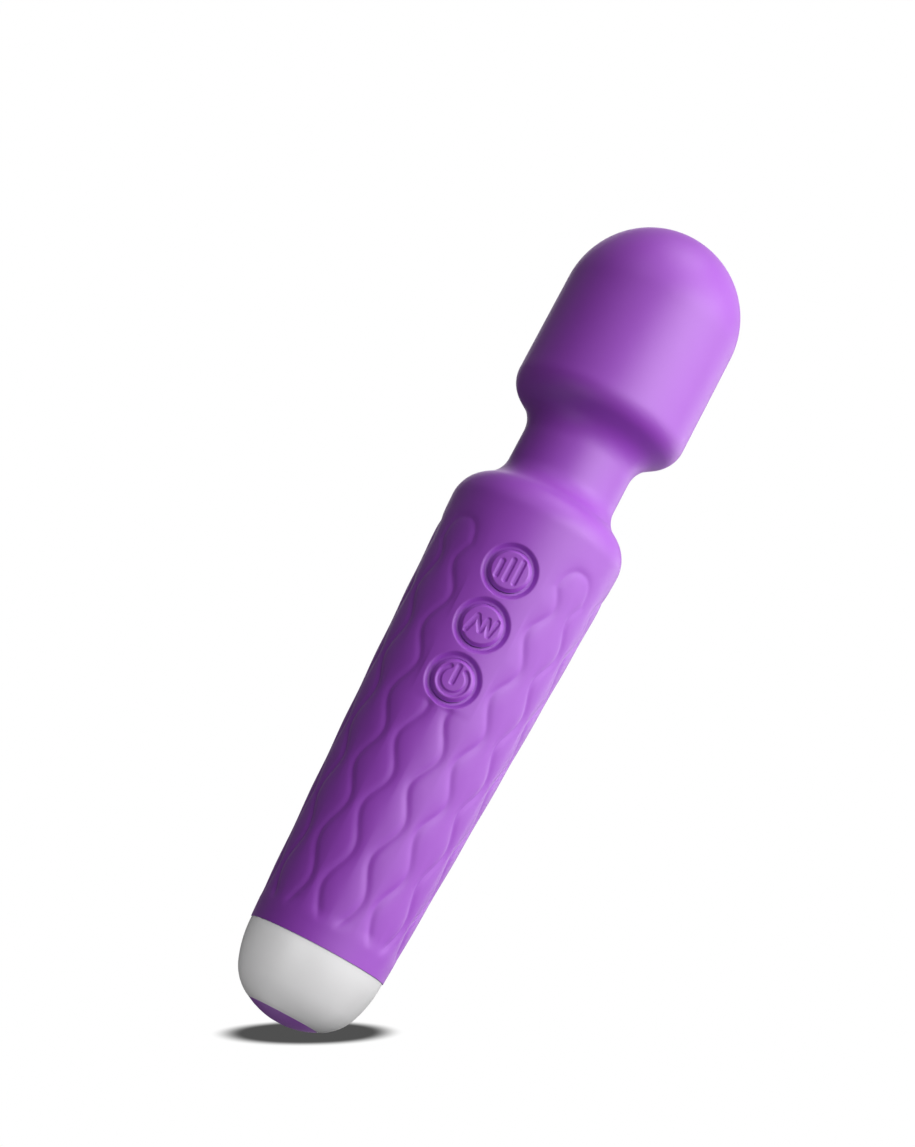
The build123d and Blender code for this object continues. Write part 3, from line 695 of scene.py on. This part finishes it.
# ---- materials of the CAD nodes that stay ------------------------------------------------------
FINISHES = {
    "housing_abs": plastic("housing_abs", (0.72, 0.71, 0.73), (0.68, 0.67, 0.70)),
    "pod_abs": plastic("pod_abs", (0.22, 0.22, 0.24), (0.18, 0.18, 0.20)),
    "plunger_plastic": plastic("plunger_plastic", (0.8, 0.8, 0.78), (0.76, 0.76, 0.74)),
    "screw_steel": metal("screw_steel", (0.55, 0.55, 0.57), (0.42, 0.42, 0.44)),
    "ring_steel": metal("ring_steel", (0.6, 0.6, 0.62), (0.5, 0.5, 0.52)),
    "black_rubber": plastic("black_rubber", (0.02, 0.02, 0.02), (0.03, 0.03, 0.032), (0.6, 0.75)),
    "foam": plastic("foam", (0.03, 0.03, 0.03), (0.05, 0.05, 0.05), (0.85, 0.95)),
    "jack_plastic": plastic("jack_plastic", (0.02, 0.02, 0.02), (0.035, 0.035, 0.035)),
    "contact_metal": metal("contact_metal", (0.75, 0.70, 0.55), (0.66, 0.60, 0.45)),
    "battery_wrap": plastic("battery_wrap", (0.03, 0.14, 0.42), (0.03, 0.12, 0.38), (0.2, 0.3)),
    "board_green": plastic("board_green", (0.01, 0.14, 0.05), (0.015, 0.19, 0.07), (0.3, 0.45)),
    "switch_metal": metal("switch_metal", (0.6, 0.6, 0.6), (0.5, 0.5, 0.5)),
    "chip_black": plastic("chip_black", (0.02, 0.02, 0.022), (0.03, 0.03, 0.033)),
    "lead_red": plastic("lead_red", (0.4, 0.01, 0.01), (0.35, 0.01, 0.01)),
    "motor_steel": metal("motor_steel", (0.6, 0.6, 0.61), (0.5, 0.5, 0.52)),
    "shaft_steel": metal("shaft_steel", (0.68, 0.68, 0.70), (0.6, 0.6, 0.62), (0.15, 0.25)),
    "endcap_plastic": plastic("endcap_plastic", (0.04, 0.04, 0.045), (0.05, 0.05, 0.055)),
    "bushing_brass": metal("bushing_brass", (0.70, 0.50, 0.20), (0.6, 0.42, 0.16)),
    "weight_metal": metal("weight_metal", (0.40, 0.40, 0.42), (0.33, 0.33, 0.35)),
}
SLOTS = {part["node"]: part["material_slot"] for part in frame["record"]["subparts"]}

CUT_SPACING = 0.75  # between the extra cuts across the neck's bend in a copied CAD mesh


def level_cut(shape, height, **removed):
    """Cut every face that crosses a height, and clear the side that is named, if one is."""
    everything = [*shape.verts, *shape.edges, *shape.faces]
    place = (0, 0, height * MM)
    return bmesh.ops.bisect_plane(
        shape, geom=everything, plane_co=place, plane_no=(0, 0, 1), **removed
    )


def bending_halves(node_name):
    """Two pieces for a CAD node that bends inside the neck, cut where the two hinges cross."""
    for half, side_removed, bodies, low_z, high_z in (
        ("lower", "clear_outer", ("handle", "neck_link"), BEND_LOW, PIVOT_Z),
        ("upper", "clear_inner", ("neck_link", "head"), PIVOT_Z, BEND_HIGH),
    ):
        shape = bmesh.new()
        shape.from_mesh(frame["nodes"][node_name].data)
        bmesh.ops.remove_doubles(shape, verts=shape.verts, dist=0.001 * MM)
        for height in np.arange(BEND_LOW, BEND_HIGH, CUT_SPACING):
            level_cut(shape, height)
        cut = level_cut(shape, PIVOT_Z, **{side_removed: True})
        rim = [item for item in cut["geom_cut"] if isinstance(item, bmesh.types.BMEdge)]
        bmesh.ops.triangle_fill(shape, edges=rim, use_beauty=True)
        bmesh.ops.recalc_face_normals(shape, faces=shape.faces)
        mesh = bpy.data.meshes.new(f"{node_name}_{half}")
        shape.to_mesh(mesh)
        shape.free()
        mesh.shade_smooth()
        mesh.set_sharp_from_angle(angle=math.radians(30))
        mesh.materials.append(FINISHES[SLOTS[node_name]])
        piece = bpy.data.objects.new(f"{node_name}_{half}", mesh)
        bpy.context.scene.collection.objects.link(piece)
        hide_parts(node_name)
        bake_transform(piece)


for bending in ("neck_coupler", "motor_leads"):
    bending_halves(bending)

for part in frame["record"]["subparts"]:
    finish = FINISHES.get(part["material_slot"])
    cad = frame["nodes"][part["node"]]
    if finish and not cad.hide_render:
        cad.data.materials.clear()
        cad.data.materials.append(finish)

# ---- camera, lights and the painted floor shadow -----------------------------------------------
# fitted to the wand's outline in the photograph, then rounded
CAMERA_DISTANCE, CAMERA_Z, CAMERA_AROUND = 0.562, -0.0195, math.radians(3.5)
PITCH, YAW, ROLL = math.radians(12.63), math.radians(1.14), math.radians(27.75)
LENS, SENSOR = 80.35, 36.0

into = Vector((-math.sin(CAMERA_AROUND), math.cos(CAMERA_AROUND), 0))
across = Vector((math.cos(CAMERA_AROUND), math.sin(CAMERA_AROUND), 0))
eye = -into * CAMERA_DISTANCE + Vector((0, 0, CAMERA_Z))
forward = into * math.cos(PITCH) + Vector((0, 0, math.sin(PITCH)))
upward = Vector((0, 0, math.cos(PITCH))) - into * math.sin(PITCH)
forward = (forward * math.cos(YAW) - across * math.sin(YAW)).normalized()
rightward = forward.cross(upward).normalized()
screen_right = rightward * math.cos(ROLL) + upward * math.sin(ROLL)
screen_up = upward * math.cos(ROLL) - rightward * math.sin(ROLL)

camera_data = bpy.data.cameras.new("camera")
camera_data.lens = LENS
camera_data.sensor_width = SENSOR
camera_data.clip_start = 0.01
camera = bpy.data.objects.new("camera", camera_data)
bpy.context.scene.collection.objects.link(camera)
camera.matrix_world = Matrix((
    (screen_right.x, screen_up.x, -forward.x, eye.x),
    (screen_right.y, screen_up.y, -forward.y, eye.y),
    (screen_right.z, screen_up.z, -forward.z, eye.z),
    (0, 0, 0, 1),
))
bpy.context.scene.camera = camera

MIDDLE = Vector((0, 0, TIP_Z / 2 * MM))
FLOOR_TILT = math.radians(7.8)  # between the plane of the painted floor shadow and the camera's line of sight
SHADOW_R, SHADOW_SHIFT = 17.6, 2.8  # the painted contact shadow's radius, and its shift to the left
SHADOW_INNER, SHADOW_OUTER, PATCH_EDGE = 0.8, 1.2, 1.3  # its fade and the patch's edge, in radii
SHADOW_DENSITY = 0.92

# soft panels on a dome round the wand: name, degrees round from the camera to its right,
# degrees up, watts. The directions and powers came from a least-squares fit of the shading to
# the photograph's, and were then rounded and changed.
PANELS = (
    ("right_front", 67, 10, 3.4),
    ("right_high", 90, 55, 2.6),
    ("front_right", 45, 20, 2.5),
    ("right_low", 90, -15, 2.2),
    ("right_back_low", 135, -15, 1.9),
    ("right", 95, 15, 1.6),
    ("left_front_low", -45, -15, 0.6),
    ("left_under", -90, -50, 1.0),
    ("front_right_low", 45, -15, 1.0),
    ("front", 20, 10, 1.2),
    ("right_back", 135, 20, 0.7),
    ("top", 0, 60, 0.8),
    ("back", 180, 15, 1.5),
)
PANEL_SIZE, PANEL_DISTANCE = 0.5, 0.9  # metres


def soft_panel(name, azimuth, height, power):
    """A square soft panel, aimed at the wand's middle."""
    light = bpy.data.lights.new(name, "AREA")
    light.size = PANEL_SIZE
    light.energy = power
    panel = bpy.data.objects.new(name, light)
    level = screen_right * math.sin(azimuth) - forward * math.cos(azimuth)
    way = level * math.cos(height) + screen_up * math.sin(height)
    panel.location = MIDDLE + way * PANEL_DISTANCE
    panel.rotation_mode = "QUATERNION"
    panel.rotation_quaternion = way.to_track_quat("Z", "Y")
    bpy.context.scene.collection.objects.link(panel)
    return panel


for name, around_degrees, up_degrees, power in PANELS:
    soft_panel(name, math.radians(around_degrees), math.radians(up_degrees), power)

# the white cap gets soft light of its own, from in front and from behind
CAP_LIGHT_HEIGHT = math.radians(12)
lit_by_fill = bpy.data.collections.new("lit_by_cap_fill")
lit_by_fill.objects.link(bpy.data.objects["end_cap_shell"])
for name, around_degrees, power in (("cap_front", -25, 3.5), ("cap_back", 165, 2.2)):
    fill = soft_panel(name, math.radians(around_degrees), CAP_LIGHT_HEIGHT, power)
    fill.light_linking.receiver_collection = lit_by_fill

# the camera sees a plain white backdrop, which itself lights the wand only faintly
BACKDROP_LIGHT = 0.03
world = bpy.data.worlds.new("studio")
world.use_nodes = True
bpy.context.scene.world = world
sky = world.node_tree
background = sky.nodes["Background"]
background.inputs["Color"].default_value = (1, 1, 1, 1)
background.inputs["Strength"].default_value = BACKDROP_LIGHT
seen = sky.nodes.new("ShaderNodeBackground")
seen.inputs["Color"].default_value = (1, 1, 1, 1)
seen.inputs["Strength"].default_value = 1.0
path = sky.nodes.new("ShaderNodeLightPath")
mix = sky.nodes.new("ShaderNodeMixShader")
sky.links.new(path.outputs["Is Camera Ray"], mix.inputs["Fac"])
sky.links.new(background.outputs[0], mix.inputs[1])
sky.links.new(seen.outputs[0], mix.inputs[2])
sky.links.new(mix.outputs[0], sky.nodes["World Output"].inputs["Surface"])
bpy.context.scene.view_settings.view_transform = "Standard"


def painted_shadow_patch():
    """The contact shadow, painted: a flat dark patch under the wand that is clear towards its edge."""
    corners = [Vector(v.co) for v in bpy.data.objects["end_cap_shell"].data.vertices]
    sight = (min(corners, key=lambda p: p @ screen_up) - eye).normalized()
    level = (screen_up - sight * (screen_up @ sight)).normalized()
    up = level * math.cos(FLOOR_TILT) - sight * math.sin(FLOOR_TILT)
    foot = min(corners, key=lambda p: p @ up)
    centre = foot - screen_right * SHADOW_SHIFT * MM - up * 0.1 * MM
    count = 96
    edge = SHADOW_R * PATCH_EDGE * MM
    turns = [2 * math.pi * i / count for i in range(count)]
    rim = [(edge * math.cos(t), edge * math.sin(t), 0) for t in turns]
    slices = [(0, 1 + i, 1 + (i + 1) % count) for i in range(count)]
    mesh = bpy.data.meshes.new("floor")
    mesh.from_pydata([(0, 0, 0), *rim], [], slices)
    # the patch is named floor, but it is only a painted shadow; there is no floor under it
    floor = bpy.data.objects.new("floor", mesh)
    side = (screen_right - up * (screen_right @ up)).normalized()
    depthwise = up.cross(side)
    floor.matrix_world = Matrix((
        (side.x, depthwise.x, up.x, centre.x),
        (side.y, depthwise.y, up.y, centre.y),
        (side.z, depthwise.z, up.z, centre.z),
        (0, 0, 0, 1),
    ))
    material = bpy.data.materials.new("floor_shadow")
    material.use_nodes = True
    tree = material.node_tree
    tree.nodes.remove(tree.nodes["Principled BSDF"])
    place = tree.nodes.new("ShaderNodeTexCoord").outputs["Object"]
    reach = node(tree, "ShaderNodeVectorMath", Vector=place)
    reach.operation = "LENGTH"
    fade = node(tree, "ShaderNodeMapRange", Value=reach.outputs["Value"])
    fade.interpolation_type = "SMOOTHSTEP"
    fade.inputs["From Min"].default_value = SHADOW_R * SHADOW_INNER * MM
    fade.inputs["From Max"].default_value = SHADOW_R * SHADOW_OUTER * MM
    fade.inputs["To Min"].default_value = SHADOW_DENSITY
    fade.inputs["To Max"].default_value = 0.0
    # the painted shadow's near-black colour, faded out towards the patch's rim
    dark = node(tree, "ShaderNodeBsdfDiffuse", Color=(0.001, 0.001, 0.001, 1))
    clear = tree.nodes.new("ShaderNodeBsdfTransparent")
    both = tree.nodes.new("ShaderNodeMixShader")
    tree.links.new(fade.outputs["Result"], both.inputs["Fac"])
    tree.links.new(clear.outputs[0], both.inputs[1])
    tree.links.new(dark.outputs[0], both.inputs[2])
    tree.links.new(both.outputs[0], tree.nodes["Material Output"].inputs["Surface"])
    mesh.materials.append(material)
    floor.visible_shadow = False
    floor.visible_diffuse = False
    floor.visible_glossy = False
    bpy.context.scene.collection.objects.link(floor)


painted_shadow_patch()
